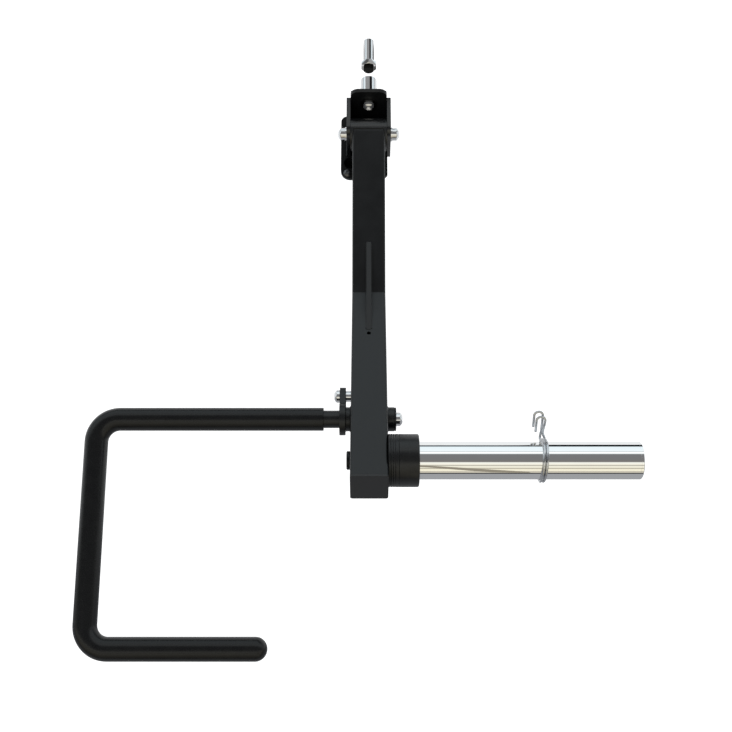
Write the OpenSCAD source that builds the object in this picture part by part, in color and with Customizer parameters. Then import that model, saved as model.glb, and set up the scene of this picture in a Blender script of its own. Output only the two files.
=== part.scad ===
// Rack-mounted jammer arm: a pivot bracket on a rack pin, a bent square arm, a U-shaped push handle
// and a weight sleeve with a spring collar.
// Frame: +X to the user's right, +Y into the rack upright, +Z up.
// Origin: on the rack pin's axis, in the plane where the bracket's liner meets the upright.

/* [Rack pin] */
// Diameter of the rack pin
pin_d = 25.4; // [12:0.1:30]
// Reach of the rack pin behind the liner
pin_reach = 34.6; // [20:0.1:60]
// Chamfer at the rack pin's tip
pin_chamfer = 2.5; // [0.5:0.1:4]

/* [Pivot bracket] */
// Thickness of the bracket's plates
plate_t = 6; // [4:0.5:10]
// Clear width between the two ears
ear_gap = 57; // [54:0.5:70]
// Width of the back plate's upper tab
tab_w = 56.5; // [40:0.5:68]
// Height of the back plate above the rack pin's axis
tab_top = 31.5; // [20:0.5:60]
// Corner radius of the upper tab
tab_r = 12.5; // [2:0.5:20]
// Height of the back plate's shoulders above the rack pin's axis
shoulder_z = 8; // [0:0.5:14]
// Thickness of the liner behind the back plate
liner_t = 5; // [2:0.5:8]
// Pivot axis in front of the back plate's face
pivot_ahead = 50; // [42:0.5:90]
// Pivot axis below the rack pin's axis
pivot_below = 9.2; // [0:0.1:30]
// Height of the ears' top edge above the pivot axis
ear_rise = 24; // [20:0.5:30]
// Radius of the ears' upper front corner
ear_nose_r = 12; // [8:0.5:16]
// Setback of the ears' foot in front of the pivot
ear_foot_ahead = 15; // [5:0.5:24]
// Top of the rest shelf below the pivot axis
shelf_below = 41; // [36:0.5:60]
// Reach of the rest shelf in front of the pivot axis
shelf_ahead = 54.5; // [50:0.5:90]
// Reach of the shelf's wing left of the arm's centre
shelf_left = 44.3; // [36:0.1:70]
// Reach of the shelf right of the arm's centre
shelf_right = 30; // [24:0.5:60]
// Corner radius of the shelf's wing
shelf_r = 15.5; // [2:0.5:16]
// Diameter of the hole in the shelf's wing
wing_hole_d = 20; // [8:0.5:24]
// Depth of the pin holder under that hole
holder_depth = 24; // [12:1:50]

/* [Pivot] */
// Outer diameter of the pivot tube
pivot_tube_d = 50; // [44:0.5:60]
// Wall of the pivot tube
pivot_tube_wall = 5; // [3:0.5:8]
// Diameter of the pivot axle
axle_d = 20; // [16:0.5:26]
// Thread diameter of the pivot bolts
pivot_bolt_d = 12; // [8:0.5:14]
// Diameter of the pivot bolts' domed heads
pivot_head_d = 19.5; // [16:0.5:26]
// Height of the pivot bolts' domed heads
pivot_head_h = 11.5; // [5:0.1:13]
// Diameter of the pivot washers
pivot_washer_d = 22; // [18:0.5:30]

/* [Arm] */
// Outside width and height of the arm tube
arm_w = 50; // [44:0.5:52]
// Wall of the arm tube
arm_wall = 3; // [2:0.5:5]
// Corner radius of the arm tube
arm_r = 3.5; // [3.5:0.5:8]
// Angle of the upper tube below the horizontal
upper_drop = 9.66; // [0:0.01:20]
// Angle of the lower tube above the horizontal
lower_rise = 22.3; // [5:0.1:40]
// Length of the upper tube, from the pivot axis to the bend
upper_len = 268.6; // [180:0.1:400]
// Length of the lower tube, from the bend to its open end
lower_len = 342.9; // [300:0.1:500]
// Thickness of the gusset in the bend
gusset_t = 7; // [3:0.5:12]
// Length of the gusset along each tube, from the bend's centre
gusset_leg = 86; // [40:1:120]
// Diameter of the drain hole beside the gusset
drain_d = 6; // [3:0.5:10]
// Thickness of the arm's end cap
cap_t = 3; // [2:0.5:6]

/* [Weight sleeve] */
// Sleeve axis before the arm's open end
sleeve_back = 40.5; // [36:0.5:60]
// Diameter of the weight sleeve
sleeve_d = 50; // [48:0.1:50.8]
// Wall of the weight sleeve
sleeve_wall = 3; // [2:0.5:5]
// Loading length of the weight sleeve
sleeve_len = 292.5; // [230:0.5:420]
// Diameter of the stop rings and the bumper
stop_d = 70; // [60:0.5:90]
// Thickness of the stop flange
flange_t = 3; // [2:0.5:6]
// Thickness of each thin stop ring
thin_ring_t = 3; // [2:0.5:6]
// Thickness of the wide stop ring
wide_ring_t = 5; // [3:0.5:8]
// Thickness of the rubber bumper
bumper_t = 26.5; // [10:0.5:40]
// Diameter of the bolt that holds the sleeve
sleeve_bolt_d = 16; // [12:0.5:18]
// Diameter of that bolt's head
sleeve_head_d = 24.6; // [20:0.5:30]
// Height of that bolt's head
sleeve_head_h = 5; // [3:0.5:9]

/* [Spring collar] */
// Wire diameter of the spring collar
wire_d = 3.4; // [2.5:0.1:4]
// Distance of the coil's first turn from the stop bumper
collar_from_stop = 162.7; // [20:0.5:250]
// Angle of the collar's two handles above the horizontal
collar_lift = 51; // [30:1:70]
// Length of the upper handle's leg, from the coil to its hook
upper_leg_len = 45; // [38:0.5:70]
// Length of the lower handle's leg, from its foot to its hook
lower_leg_len = 28.7; // [24:0.1:60]
// Width of the hook at each handle's tip
hook_w = 11.4; // [9:0.1:18]

/* [Push handle] */
// Handle axis before the arm's open end
handle_back = 110.7; // [90:0.5:150]
// Diameter of the handle bar
bar_d = 24; // [20:0.5:26]
// Wall of the handle bar
bar_wall = 3; // [2:0.5:5]
// Diameter of the rubber grip
grip_d = 31.5; // [28:0.5:40]
// Reach of the handle's outer leg left of the arm's centre
leg_x = 370.8; // [260:0.5:450]
// Distance between the handle's two cross bars
leg_len = 303; // [220:0.5:400]
// Length of the grip on the free cross bar, from the outer leg's axis
free_len = 238.8; // [120:0.5:260]
// Bend radius of the handle
handle_bend_r = 31; // [24:0.5:60]
// Start of the grip left of the arm's centre
grip_start = 62.3; // [52:0.1:80]
// Angle of the handle below the horizontal
handle_drop = 6.3; // [0:0.1:30]
// Outer diameter of the handle's pivot tube
boss_d = 33; // [31:0.5:38]
// Reach of that tube beyond the arm on the left
boss_left = 6.9; // [3:0.1:12]
// Reach of that tube beyond the arm on the right
boss_right = 9.4; // [3:0.1:12]
// Thickness of the index plate
index_t = 8.2; // [4:0.1:12]
// Radius of the index plate's hub
hub_r = 22; // [18:0.5:30]
// Distance of the lock bolt from the handle axis
lock_r = 41; // [39:0.5:50]
// Thread diameter of the lock bolt
lock_d = 12; // [8:0.5:14]
// Diameter of the lock bolt's head
lock_head_d = 17.6; // [14:0.5:24]
// Height of the lock bolt's head
lock_head_h = 8.7; // [5:0.1:12]
// Travel of the handle below its rest angle
swivel_down = 60; // [10:1:75]
// Travel of the handle above its rest angle
swivel_up = 3; // [0:1:20]

/* [Spare pin] */
// Diameter of the spare pin's rod
spare_d = 16; // [12:0.5:20]
// Width across the flats of the spare pin's hexagon
spare_flats = 22.5; // [19:0.5:30]
// Height of the spare pin above the rack pin's axis
spare_up = 50.8; // [45:0.1:80]
// Front of the spare pin behind the liner
spare_start = 14.5; // [5:0.5:40]
// Length of the spare pin's rod
spare_rod_len = 40.8; // [20:0.1:80]

/* [Clearances] */
// Radial running clearance of a shaft in its bush
run_clear = 0.03; // [0.01:0.01:0.1]
// Radial clearance of a bolt in its hole
bolt_clear = 0.2; // [0.1:0.05:0.6]
// Gap between faces that slide past each other
slide_gap = 0.3; // [0.1:0.05:0.6]
// Radial gap between fixed round pieces, and at coped welds
seat_gap = 0.02; // [0.01:0.01:0.1]
// Radial gap between the spring collar and the sleeve
collar_gap = 0.7; // [0.6:0.05:1]

/* [Hidden] */
$fn = 96;
edge_fn = 32;
over = 1;

// Details that several pieces share
rim_edge = 1;
socket_depth = 4;
socket_flats = 8;
wide_socket_flats = 10;
dome_share = 0.62;
thread_end_gap = 2;
thread_proud = 2;
thread_relief = 0.6;

// Bracket, measured from the liner's rear face
web_back = -liner_t;
web_front = web_back - plate_t;
pivot_y = web_front - pivot_ahead;
pivot_z = -pivot_below;
ear_in = ear_gap / 2;
ear_out = ear_in + plate_t;
ear_top = pivot_z + ear_rise;
ear_nose_z = ear_top - ear_nose_r;
shelf_top = pivot_z - shelf_below;
shelf_front = pivot_y - shelf_ahead;
shelf_back_gap = 0.5;
shelf_back_r = 10;
shelf_chamfer = 7.5;
wing_rim = 5;
wing_foot_gap = 1.5;
holder_wall = 3;
holder_floor = 3;
wing_hole_x = wing_rim + wing_hole_d / 2 - shelf_left;
wing_hole_y = pivot_y - ear_foot_ahead - wing_foot_gap - wing_hole_d / 2;
shelf_screw_d = 6;
shelf_head_d = 14;
shelf_head_h = 4;
shelf_socket_depth = 2;
shelf_socket_flats = 5;
shelf_head_gap = 1.2;
shelf_screw_x = -33.2;
shelf_screw_y = wing_hole_y - wing_hole_d / 2 - shelf_head_d / 2 - shelf_head_gap;
liner_hole_gap = 1.8;
liner_edge = 0.5;
pad_edge = 1;
pad_len = 17;
pad_w = arm_w - 2 * arm_r;

// Rack pin and its bolt
pin_bolt_d = 12;
pin_head_d = 16.5;
pin_head_h = 9;
pin_washer_d = 26;
pin_washer_t = 1;
pin_thread_depth = 22;

// Pivot
washer_t = 2.5;
pivot_thread_depth = 20;
pivot_w = ear_gap - 2 * slide_gap;
pivot_bush_len = 22;
pivot_bush_r = pivot_tube_d / 2 - pivot_tube_wall - seat_gap;

// Arm
bend_half = (upper_drop + lower_rise) / 2;
bend_y = pivot_y - upper_len * cos(upper_drop);
bend_z = pivot_z - upper_len * sin(upper_drop);
arm_in = arm_w / 2 - arm_wall;
cap_plug = 14;
far = 2 * arm_w;

// Sleeve
core_r = sleeve_d / 2 - sleeve_wall - seat_gap;
core_len = 120;
core_thread_depth = 60;
stop_x = arm_w / 2 + flange_t + 2 * thin_ring_t + wide_ring_t + bumper_t;
sleeve_end_x = stop_x + sleeve_len;
end_cap_t = 4;
end_plug = 12;
ring_edge_r = 0.9;
bumper_edge_r = 2.2;
sleeve_head_edge_r = 1.5;
sleeve_socket_depth = 3;
sleeve_spacer_wall = 5;

// Handle
boss_wall = 2;
boss_x0 = -(arm_w / 2 + boss_left);
boss_x1 = arm_w / 2 + boss_right;
handle_bush_len = 20;
index_x1 = boss_x0 - slide_gap;
index_x0 = index_x1 - index_t;
slot_clear = 0.4;
slot_half = lock_d / 2 + slot_clear;
slot_rim = 4.6;
lobe_r = slot_half + slot_rim;
lobe_inset = 0.3;
bar_x1 = boss_x1 + slide_gap;
bar_end_inset = 8;
end_washer_t = 2.2;
end_washer_inset = 0.5;
end_head_d = 18.6;
end_head_h = 10;
end_bolt_d = 12;
end_thread_depth = 30;
end_plug_len = 40;
lock_flats = 18;
lock_nut_t = 10;
spacer_d = 15;

// Spare pin
spare_hex_t = 8.5;
spare_hex_rim = 2;
spare_chamfer = 1.2;
spare_thread_t = 5;
spare_thread_d = spare_d - thread_relief;

// Spring collar
rings_per_loop = 24;
wire_sides = 6;
coil_r = (sleeve_d / 2 + collar_gap + wire_d / 2) / cos(180 / rings_per_loop);
wire_gap = 0.55;
coil_pitch = wire_d + wire_gap;
coil_turns = 2;
coil_lean = 5;
lean_top = 20;
leg_gap = 0.8;
foot_r = 6;
foot_steps = 8;
across_legs = coil_r + wire_d + leg_gap;
lower_leave = collar_lift - 90 + acos((across_legs - foot_r) / (coil_r + foot_r));
upper_leave = collar_lift - 90 + 360 * coil_turns;
foot_turn = collar_lift + 90 - lower_leave;
collar_x = stop_x + collar_from_stop;
upper_shift = 5.2;
upper_shift_start = 11;
upper_shift_len = 16;
upper_return = 1.6;
lower_shift = 1.6;
lower_shift_start = 6;
lower_shift_len = 14;
foot_len = foot_r * foot_turn * PI / 180;
hook_r = hook_w / 2;
hook_back = 18;
leg_step = 5;
off_route = [0.3, 0.5, 0.81];

// Colours
powder_black = [0.13, 0.14, 0.15];
rubber_black = [0.08, 0.08, 0.085];
chrome_grey = [0.82, 0.83, 0.85];
dark_steel = [0.2, 0.2, 0.21];
bronze = [0.6, 0.47, 0.28];

// Square with round corners, centred on the origin
module round_square(w, r) {
  square([w - 2 * r, w], center = true);
  square([w, w - 2 * r], center = true);
  for (sx = [-1, 1], sy = [-1, 1]) translate([sx * (w / 2 - r), sy * (w / 2 - r)]) circle(r);
}

// What a corner of radius r cuts away, with the corner at the origin and the plate towards +X and +Y
module corner_cut(r) {
  difference() {
    translate([-over, -over]) square(r + over);
    translate([r, r]) circle(r);
  }
}

// Round bar along X, from x0 to x1, at a point of the side view
module bar_x(x0, x1, r, y = 0, z = 0) {
  translate([x0, y, z]) rotate([0, 90, 0]) cylinder(h = x1 - x0, r = r);
}

// Round bar along Y, from y0 to y1
module bar_y(y0, y1, r, z = 0) {
  translate([0, y0, z]) rotate([-90, 0, 0]) cylinder(h = y1 - y0, r = r);
}

// Side-view outline pulled out along X, from x0 to x1
module plate_x(x0, x1) {
  translate([x0, 0, 0]) rotate([90, 0, 90]) linear_extrude(x1 - x0) children();
}

// Disc with rounded rims, standing on the XY plane
module soft_disc(r, h, edge) {
  rotate_extrude() {
    square([r - edge, h]);
    translate([0, edge]) square([r, h - 2 * edge]);
    for (y = [edge, h - edge]) translate([r - edge, y]) circle(edge, $fn = edge_fn);
  }
}

// Hexagonal socket sunk into a head that is h high
module hex_socket(h, depth, flats) {
  translate([0, 0, h - depth]) cylinder(h = depth + over, d = flats / cos(30), $fn = 6);
}

// Domed bolt head standing on the XY plane, with a hexagonal socket
module dome_head(d, h, flats, depth = socket_depth) {
  difference() {
    rotate_extrude() intersection() {
      square([d / 2, h]);
      translate([0, h - d * dome_share]) circle(d * dome_share);
    }
    hex_socket(h, depth, flats);
  }
}

// Flat washer or ring standing on the XY plane
module ring(d_out, d_in, h) {
  difference() {
    cylinder(h = h, d = d_out);
    translate([0, 0, -over]) cylinder(h = h + 2 * over, d = d_in);
  }
}

// Places children in the frame of the upper tube, whose length runs along -Y from the pivot axis
module at_upper() {
  translate([0, pivot_y, pivot_z]) rotate([upper_drop, 0, 0]) children();
}

// Places children in the frame of the lower tube, whose length runs along -Y from the bend
module at_lower(along = 0) {
  translate([0, bend_y, bend_z]) rotate([-lower_rise, 0, 0]) translate([0, -along, 0]) children();
}

// Places children on the sleeve's axis, the handle's axis and the lock bolt's axis
module at_sleeve() {
  at_lower(lower_len - sleeve_back) children();
}

module at_boss() {
  at_lower(lower_len - handle_back) children();
}

module at_lock() {
  at_lower(lower_len - handle_back - lock_r) children();
}

// Places children in the frame of the handle, whose outer leg runs along -Y
module at_handle() {
  at_boss() rotate([lower_rise + handle_drop, 0, 0]) children();
}

// Square tube along -Y, from y = -from to y = -to
module square_tube(from, to) {
  translate([0, -from, 0]) rotate([90, 0, 0]) linear_extrude(to - from) difference() {
    round_square(arm_w, arm_r);
    round_square(arm_w - 2 * arm_wall, arm_r - arm_wall);
  }
}

// Half space in front of (side = -1) or behind (side = 1) the plane y = 0
module half_space(side) {
  translate([-far, side < 0 ? -2 * far : 0, -far]) cube([2 * far, 2 * far, 2 * far]);
}

// Bracket: back plate with shoulders for the ears and a narrower upper tab
module back_plate() {
  color(powder_black) difference() {
    translate([0, web_back, 0]) rotate([90, 0, 0]) linear_extrude(plate_t) difference() {
      union() {
        translate([-ear_out, shelf_top]) square([2 * ear_out, shoulder_z - shelf_top]);
        translate([-tab_w / 2, shelf_top]) square([tab_w, tab_top - shelf_top]);
      }
      translate([-tab_w / 2, tab_top]) mirror([0, 1]) corner_cut(tab_r);
      translate([tab_w / 2, tab_top]) rotate(180) corner_cut(tab_r);
    }
    bar_y(web_front - over, web_back + over, pin_bolt_d / 2 + bolt_clear);
  }
}

// Side view of an ear: level top, round upper corner ahead of the pivot, foot on the shelf
module ear_outline() {
  foot_y = pivot_y - ear_foot_ahead;
  foot_dy = foot_y - pivot_y;
  foot_dz = shelf_top - ear_nose_z;
  foot_far = sqrt(foot_dy * foot_dy + foot_dz * foot_dz);
  touch = atan2(foot_dz, foot_dy) - acos(ear_nose_r / foot_far);
  translate([pivot_y, ear_nose_z]) circle(ear_nose_r);
  polygon([
    [web_front, ear_top], [pivot_y, ear_top], [pivot_y, ear_nose_z],
    [pivot_y + ear_nose_r * cos(touch), ear_nose_z + ear_nose_r * sin(touch)],
    [foot_y, shelf_top], [web_front, shelf_top]
  ]);
}

module ear(x0) {
  difference() {
    plate_x(x0, x0 + plate_t) ear_outline();
    bar_x(x0 - over, x0 + plate_t + over, pivot_bolt_d / 2 + bolt_clear, pivot_y, pivot_z);
  }
}

module left_ear() {
  color(powder_black) ear(-ear_out);
}

module right_ear() {
  color(powder_black) ear(ear_in);
}

// Shelf that the arm rests on, with a wing and a hole on the left
module rest_shelf() {
  back_y = -shelf_back_gap;
  color(powder_black) translate([0, 0, shelf_top - plate_t]) linear_extrude(plate_t) difference() {
    translate([-shelf_left, shelf_front]) square([shelf_left + shelf_right, back_y - shelf_front]);
    translate([-shelf_left, shelf_front]) corner_cut(shelf_r);
    translate([-shelf_left, back_y]) mirror([0, 1]) corner_cut(shelf_back_r);
    translate([shelf_right, shelf_front]) rotate(45) square(shelf_chamfer * sqrt(2), center = true);
    translate([wing_hole_x, wing_hole_y]) circle(d = wing_hole_d);
    translate([shelf_screw_x, shelf_screw_y]) circle(shelf_screw_d / 2 + seat_gap);
  }
}

// Closed tube under the wing's hole, which holds a pin that isn't in use
module pin_holder() {
  color(powder_black) translate([wing_hole_x, wing_hole_y, shelf_top - plate_t]) rotate([180, 0, 0])
    difference() {
      cylinder(h = holder_depth, d = wing_hole_d + 2 * holder_wall);
      translate([0, 0, -over]) cylinder(h = holder_depth - holder_floor + over, d = wing_hole_d);
    }
}

// Screw in the wing, beside the resting arm
module shelf_screw() {
  color(rubber_black) translate([shelf_screw_x, shelf_screw_y, shelf_top]) {
    dome_head(shelf_head_d, shelf_head_h, shelf_socket_flats, shelf_socket_depth);
    translate([0, 0, -plate_t]) cylinder(h = plate_t, d = shelf_screw_d);
  }
}

// Underside of the resting arm at a given y
function arm_under(y) = pivot_z + (y - pivot_y) * tan(upper_drop) - arm_w / 2 / cos(upper_drop);

// Rubber wedge under the resting arm
module rest_pad() {
  y0 = shelf_front + pad_edge;
  y1 = y0 + pad_len;
  color(rubber_black) plate_x(-pad_w / 2, pad_w / 2) polygon([
    [y0, shelf_top], [y1, shelf_top],
    [y1, arm_under(y1) - slide_gap], [y0, arm_under(y0) - slide_gap]
  ]);
}

// Plastic liner between the back plate and the upright
module upright_liner() {
  color(rubber_black) difference() {
    translate([-tab_w / 2 + liner_edge, web_back, shelf_top])
      cube([tab_w - 2 * liner_edge, liner_t, tab_top - tab_r - shelf_top]);
    bar_y(web_back - over, over, pin_d / 2 + liner_hole_gap);
  }
}

module rack_pin() {
  color(chrome_grey) difference() {
    union() {
      bar_y(web_back, pin_reach - pin_chamfer, pin_d / 2);
      translate([0, pin_reach - pin_chamfer, 0]) rotate([-90, 0, 0])
        cylinder(h = pin_chamfer, d1 = pin_d, d2 = pin_d - 2 * pin_chamfer);
    }
    bar_y(web_back - over, web_back + pin_thread_depth, pin_bolt_d / 2 + seat_gap);
  }
}

module rack_pin_bolt() {
  head_y = web_front - pin_washer_t;
  color(chrome_grey) {
    translate([0, head_y, 0]) rotate([90, 0, 0]) dome_head(pin_head_d, pin_head_h, socket_flats);
    bar_y(head_y, web_back + pin_thread_depth - thread_end_gap, pin_bolt_d / 2);
  }
}

module rack_pin_washer() {
  color(dark_steel) translate([0, web_front, 0]) rotate([90, 0, 0])
    ring(pin_washer_d, pin_bolt_d + 2 * bolt_clear, pin_washer_t);
}

// Separate smaller pin, lying above and behind the rack pin
module spare_pin_rod() {
  y0 = spare_start + spare_thread_t + spare_hex_t;
  y1 = y0 + spare_rod_len - spare_chamfer;
  color(chrome_grey) {
    bar_y(y0, y1, spare_d / 2, spare_up);
    translate([0, y1, spare_up]) rotate([-90, 0, 0])
      cylinder(h = spare_chamfer, d1 = spare_d, d2 = spare_d - 2 * spare_chamfer);
  }
}

module spare_pin_hex() {
  y0 = spare_start + spare_thread_t;
  corner = spare_flats / cos(30) / 2;
  rim = spare_hex_rim;
  color(chrome_grey) translate([0, y0, spare_up]) rotate([-90, 0, 0]) intersection() {
    rotate(30) cylinder(h = spare_hex_t, r = corner, $fn = 6);
    union() {
      cylinder(h = rim, r1 = spare_flats / 2, r2 = corner + seat_gap);
      translate([0, 0, rim]) cylinder(h = spare_hex_t - 2 * rim, r = corner + seat_gap);
      translate([0, 0, spare_hex_t - rim]) cylinder(h = rim, r1 = corner + seat_gap, r2 = spare_flats / 2);
    }
  }
}

module spare_pin_thread() {
  color(dark_steel) translate([0, spare_start + spare_thread_t, spare_up]) rotate([90, 0, 0]) {
    cylinder(h = spare_thread_t - rim_edge, d = spare_thread_d);
    translate([0, 0, spare_thread_t - rim_edge])
      cylinder(h = rim_edge, d1 = spare_thread_d, d2 = spare_thread_d - 2 * rim_edge);
  }
}

// Pivot: axle clamped between the ears, tapped at both ends
module pivot_axle() {
  color(chrome_grey) difference() {
    bar_x(-ear_in, ear_in, axle_d / 2, pivot_y, pivot_z);
    for (side = [-1, 1]) translate([side * ear_in, pivot_y, pivot_z]) rotate([0, -90 * side, 0])
      translate([0, 0, -over]) cylinder(h = pivot_thread_depth + over, r = pivot_bolt_d / 2 + seat_gap);
  }
}

// Places children outside each ear on the pivot axis, with +Z pointing outwards
module each_ear() {
  for (side = [-1, 1]) translate([side * ear_out, pivot_y, pivot_z]) rotate([0, 90 * side, 0]) children();
}

module pivot_bolts() {
  shank = washer_t + plate_t + pivot_thread_depth - thread_end_gap;
  color(chrome_grey) each_ear() {
    translate([0, 0, washer_t]) dome_head(pivot_head_d, pivot_head_h, socket_flats);
    translate([0, 0, washer_t - shank]) cylinder(h = shank, d = pivot_bolt_d);
  }
}

module pivot_washers() {
  color(chrome_grey) each_ear() ring(pivot_washer_d, pivot_bolt_d + 2 * bolt_clear, washer_t);
}

module pivot_tube() {
  color(powder_black) difference() {
    bar_x(-pivot_w / 2, pivot_w / 2, pivot_tube_d / 2, pivot_y, pivot_z);
    bar_x(-ear_in, ear_in, pivot_tube_d / 2 - pivot_tube_wall, pivot_y, pivot_z);
  }
}

module pivot_bushes() {
  color(bronze) for (x = [-pivot_w / 2, pivot_w / 2 - pivot_bush_len]) difference() {
    bar_x(x, x + pivot_bush_len, pivot_bush_r, pivot_y, pivot_z);
    bar_x(x - over, x + pivot_bush_len + over, axle_d / 2 + run_clear, pivot_y, pivot_z);
  }
}

// Arm: two square tubes mitred at the bend
module upper_tube() {
  color(powder_black) at_upper() difference() {
    square_tube(0, upper_len + arm_w / 2);
    bar_x(-far, far, pivot_tube_d / 2 + seat_gap);
    translate([0, -upper_len, 0]) rotate([-bend_half, 0, 0]) half_space(-1);
  }
}

module lower_tube() {
  drain_y = -(gusset_leg + drain_d);
  color(powder_black) difference() {
    at_lower() difference() {
      square_tube(-arm_w / 2, lower_len);
      rotate([bend_half, 0, 0]) half_space(1);
      translate([0, drain_y, arm_in - over]) cylinder(h = arm_wall + 2 * over, d = drain_d);
    }
    at_boss() bar_x(-arm_w, arm_w, boss_d / 2 + seat_gap);
    at_lock() bar_x(-arm_w, 0, lock_d / 2 + bolt_clear);
    at_sleeve() bar_x(-arm_w, arm_w, sleeve_bolt_d / 2 + bolt_clear);
  }
}

// Plate that fills the upper side of the bend, with its foot on both tubes
module gusset_plate() {
  up = arm_w / 2;
  lean = (lower_rise - upper_drop) / 2;
  color(powder_black) plate_x(-gusset_t / 2, gusset_t / 2) translate([bend_y, bend_z]) polygon([
    up / cos(bend_half) * [sin(lean), cos(lean)],
    gusset_leg * [cos(upper_drop), sin(upper_drop)] + up * [-sin(upper_drop), cos(upper_drop)],
    gusset_leg * [-cos(lower_rise), sin(lower_rise)] + up * [sin(lower_rise), cos(lower_rise)]
  ]);
}

module arm_end_cap() {
  plug_w = arm_w - 2 * arm_wall - 2 * seat_gap;
  color(dark_steel) at_lower(lower_len) {
    rotate([90, 0, 0]) linear_extrude(cap_t) round_square(arm_w, arm_r);
    translate([0, cap_plug, 0]) rotate([90, 0, 0]) linear_extrude(cap_plug)
      round_square(plug_w, arm_r - arm_wall);
  }
}

// Handle pivot in the arm
module handle_tube() {
  color(powder_black) at_boss() difference() {
    bar_x(boss_x0, boss_x1, boss_d / 2);
    bar_x(boss_x0 - over, boss_x1 + over, boss_d / 2 - boss_wall);
  }
}

module handle_bushes() {
  color(bronze) at_boss() for (x = [boss_x0, boss_x1 - handle_bush_len]) difference() {
    bar_x(x, x + handle_bush_len, boss_d / 2 - boss_wall - seat_gap);
    bar_x(x - over, x + handle_bush_len + over, bar_d / 2 + run_clear);
  }
}

// Bolt that clamps the index plate against the arm
module lock_bolt() {
  head_x = index_x0 - slide_gap;
  color(chrome_grey) at_lock() {
    translate([head_x, 0, 0]) rotate([0, -90, 0]) dome_head(lock_head_d, lock_head_h, socket_flats);
    bar_x(head_x, -arm_in + lock_nut_t + thread_proud, lock_d / 2);
  }
}

module lock_spacer() {
  color(chrome_grey) at_lock() translate([-arm_w / 2, 0, 0]) rotate([0, -90, 0])
    ring(spacer_d, lock_d + 2 * bolt_clear, boss_left);
}

module lock_nut() {
  color(chrome_grey) at_lock() translate([-arm_in, 0, 0]) rotate([0, 90, 0]) difference() {
    cylinder(h = lock_nut_t, d = lock_flats / cos(30), $fn = 6);
    translate([0, 0, -over]) cylinder(h = lock_nut_t + 2 * over, r = lock_d / 2 + seat_gap);
  }
}

// Weight sleeve on its core, with the stop rings and the bumper
module sleeve() {
  color(chrome_grey) at_sleeve() difference() {
    bar_x(stop_x, sleeve_end_x - end_cap_t, sleeve_d / 2);
    bar_x(stop_x - over, sleeve_end_x, sleeve_d / 2 - sleeve_wall);
  }
}

module sleeve_core() {
  color(dark_steel) at_sleeve() difference() {
    bar_x(arm_w / 2, arm_w / 2 + core_len, core_r);
    bar_x(arm_w / 2 - over, arm_w / 2 + core_thread_depth, sleeve_bolt_d / 2 + seat_gap);
  }
}

module sleeve_bolt() {
  color(rubber_black) at_sleeve() {
    translate([-arm_w / 2, 0, 0]) rotate([0, -90, 0]) difference() {
      soft_disc(sleeve_head_d / 2, sleeve_head_h, sleeve_head_edge_r);
      hex_socket(sleeve_head_h, sleeve_socket_depth, wide_socket_flats);
    }
    bar_x(-arm_w / 2, arm_w / 2 + core_thread_depth - 2 * thread_end_gap, sleeve_bolt_d / 2);
  }
}

module sleeve_bolt_spacer() {
  color(dark_steel) at_sleeve() translate([-arm_in, 0, 0]) rotate([0, 90, 0])
    ring(sleeve_bolt_d + 2 * sleeve_spacer_wall, sleeve_bolt_d + 2 * bolt_clear, 2 * arm_in);
}

module sleeve_end_cap() {
  color(chrome_grey) at_sleeve() {
    bar_x(sleeve_end_x - end_cap_t - end_plug, sleeve_end_x - end_cap_t, core_r);
    bar_x(sleeve_end_x - end_cap_t, sleeve_end_x - rim_edge, sleeve_d / 2);
    translate([sleeve_end_x - rim_edge, 0, 0]) rotate([0, 90, 0])
      cylinder(h = rim_edge, d1 = sleeve_d, d2 = sleeve_d - 2 * rim_edge);
  }
}

// Ring on the sleeve's core between x and x + t
module stop_ring(x, t, edge) {
  translate([x, 0, 0]) rotate([0, 90, 0]) difference() {
    soft_disc(stop_d / 2, t, edge);
    translate([0, 0, -over]) cylinder(h = t + 2 * over, r = core_r + seat_gap);
  }
}

module stop_flange() {
  color(powder_black) at_sleeve() stop_ring(arm_w / 2, flange_t, ring_edge_r);
}

module stop_rings() {
  x0 = arm_w / 2 + flange_t;
  color(powder_black) at_sleeve() {
    stop_ring(x0, thin_ring_t - seat_gap, ring_edge_r);
    stop_ring(x0 + thin_ring_t, thin_ring_t - seat_gap, ring_edge_r);
    stop_ring(x0 + 2 * thin_ring_t, wide_ring_t - seat_gap, ring_edge_r);
  }
}

module stop_bumper() {
  color(rubber_black) at_sleeve() stop_ring(stop_x - bumper_t, bumper_t, bumper_edge_r);
}

// Quarter of a round bend from the origin: it leaves along -X and ends along -Y
module quarter_bend(r) {
  translate([0, -handle_bend_r, 0]) rotate([0, 0, 90]) rotate_extrude(angle = 90)
    translate([handle_bend_r, 0]) circle(r);
}

// The handle's U from x0 to the free end, as a bar of radius r
module handle_path(x0, r, free_x) {
  turn_x = handle_bend_r - leg_x;
  bar_x(turn_x, x0, r);
  translate([turn_x, 0, 0]) quarter_bend(r);
  translate([-leg_x, -handle_bend_r, 0]) rotate([90, 0, 0]) cylinder(h = leg_len - 2 * handle_bend_r, r = r);
  translate([turn_x, -leg_len, 0]) mirror([0, 1, 0]) quarter_bend(r);
  translate([0, -leg_len, 0]) bar_x(turn_x, free_x, r);
}

// Steel tube of the handle, with a tapped plug in its pivot end
module handle_bar() {
  free_x = free_len - leg_x - grip_d / 2 - bar_end_inset;
  color(dark_steel) at_handle() difference() {
    handle_path(bar_x1, bar_d / 2, free_x);
    handle_path(bar_x1 + over, bar_d / 2 - bar_wall, free_x + over);
  }
}

module handle_end_plug() {
  color(dark_steel) at_handle() difference() {
    bar_x(bar_x1 - end_plug_len, bar_x1, bar_d / 2 - bar_wall - seat_gap);
    bar_x(bar_x1 - end_thread_depth, bar_x1 + over, end_bolt_d / 2 + seat_gap);
  }
}

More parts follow.
